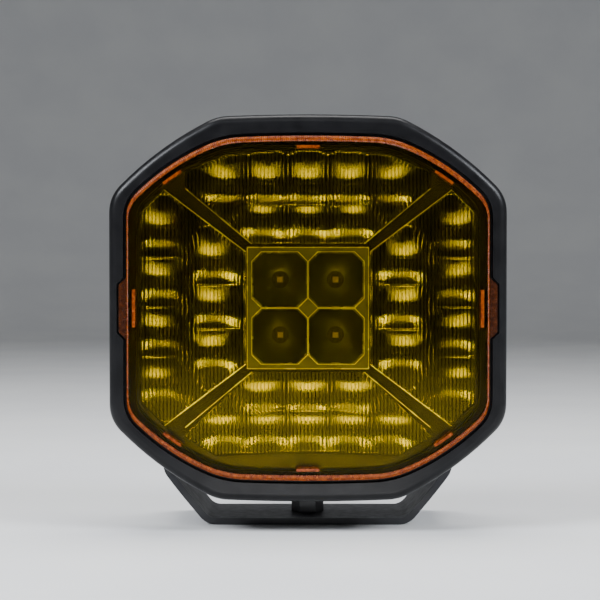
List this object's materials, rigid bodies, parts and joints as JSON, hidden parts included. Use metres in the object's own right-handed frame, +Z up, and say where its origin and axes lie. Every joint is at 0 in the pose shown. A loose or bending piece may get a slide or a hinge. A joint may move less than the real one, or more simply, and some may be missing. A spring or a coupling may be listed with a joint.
{
  "type": "fog light",
  "caption": "Eight-sided auxiliary vehicle lamp with a clip-on amber cover, fluted beam panels, deep centre reflectors and a tilting steel bracket.",
  "frame": {"origin": "underside of the bracket base, on the axis of its mounting bolt", "axes": "-Y the way the lamp shines, +X to the right seen from the front, +Z up"},
  "size_m": [0.2288, 0.106, 0.2415],
  "materials": {
    "black_steel": "satin black powder coat",
    "black_casting": "satin black powder coat on die-cast aluminium",
    "bezel_black": "satin black",
    "zinc_steel": "stainless",
    "black_bolt": "black oxide",
    "amber": "clear amber polycarbonate",
    "clear": "clear polycarbonate",
    "fluted_clear": "clear fluted polycarbonate",
    "mirror_plate": "metallised moulding",
    "smoked_mirror": "dark chrome moulding",
    "dark_trim": "gloss black moulding",
    "rubber": "matt",
    "black_nylon": "matt nylon",
    "circuit_board": "solder mask",
    "dark_board": "matt black solder mask on aluminium",
    "led_phosphor": "yellow phosphor under a clear cap",
    "pad_grey": "matt silicone",
    "ferrite": "enamelled copper over ferrite",
    "can": "plain aluminium can"
  },
  "bodies": {
    "base": {"bracket": "black_steel", "mount_nut": "black_bolt"},
    "head": {"housing": "black_casting", "bezel": "bezel_black", "bezel_screws": "zinc_steel", "lens": "clear", "lens_gasket": "rubber", "diffuser_top": "fluted_clear", "diffuser_bottom": "fluted_clear", "diffuser_left": "fluted_clear", "diffuser_right": "fluted_clear", "spoke_frame": "dark_trim", "reflector_top": "mirror_plate", "reflector_bottom": "mirror_plate", "reflector_left": "mirror_plate", "reflector_right": "mirror_plate", "centre_reflector": "smoked_mirror", "led_board": "dark_board", "thermal_pad": "pad_grey", "centre_leds": "led_phosphor", "spread_leds": "led_phosphor", "led_board_screws": "zinc_steel", "driver_board": "circuit_board", "driver_board_screws": "zinc_steel", "driver_inductor": "ferrite", "driver_capacitors": "can", "driver_chips": "black_nylon", "rear_cover_seal": "rubber", "rear_cover": "black_casting", "rear_cover_screws": "zinc_steel", "cable_gland": "black_nylon", "gland_locknut": "black_nylon", "breather_vent": "black_nylon", "pivot_bushes": "black_nylon", "pivot_washers": "zinc_steel", "pivot_bolts": "black_bolt"},
    "cover": {"amber_cover": "amber"}
  },
  "joints": [
    {"name": "tilt", "type": "hinge", "parent": "base", "child": "head", "pos_m": [0, 0, 0.13], "axis": [-1, 0, 0], "range_deg": [-9, 60]},
    {"name": "cover_pull", "type": "slide", "parent": "head", "child": "cover", "axis": [0, -1, 0], "range_m": [0, 0.06]}
  ]
}
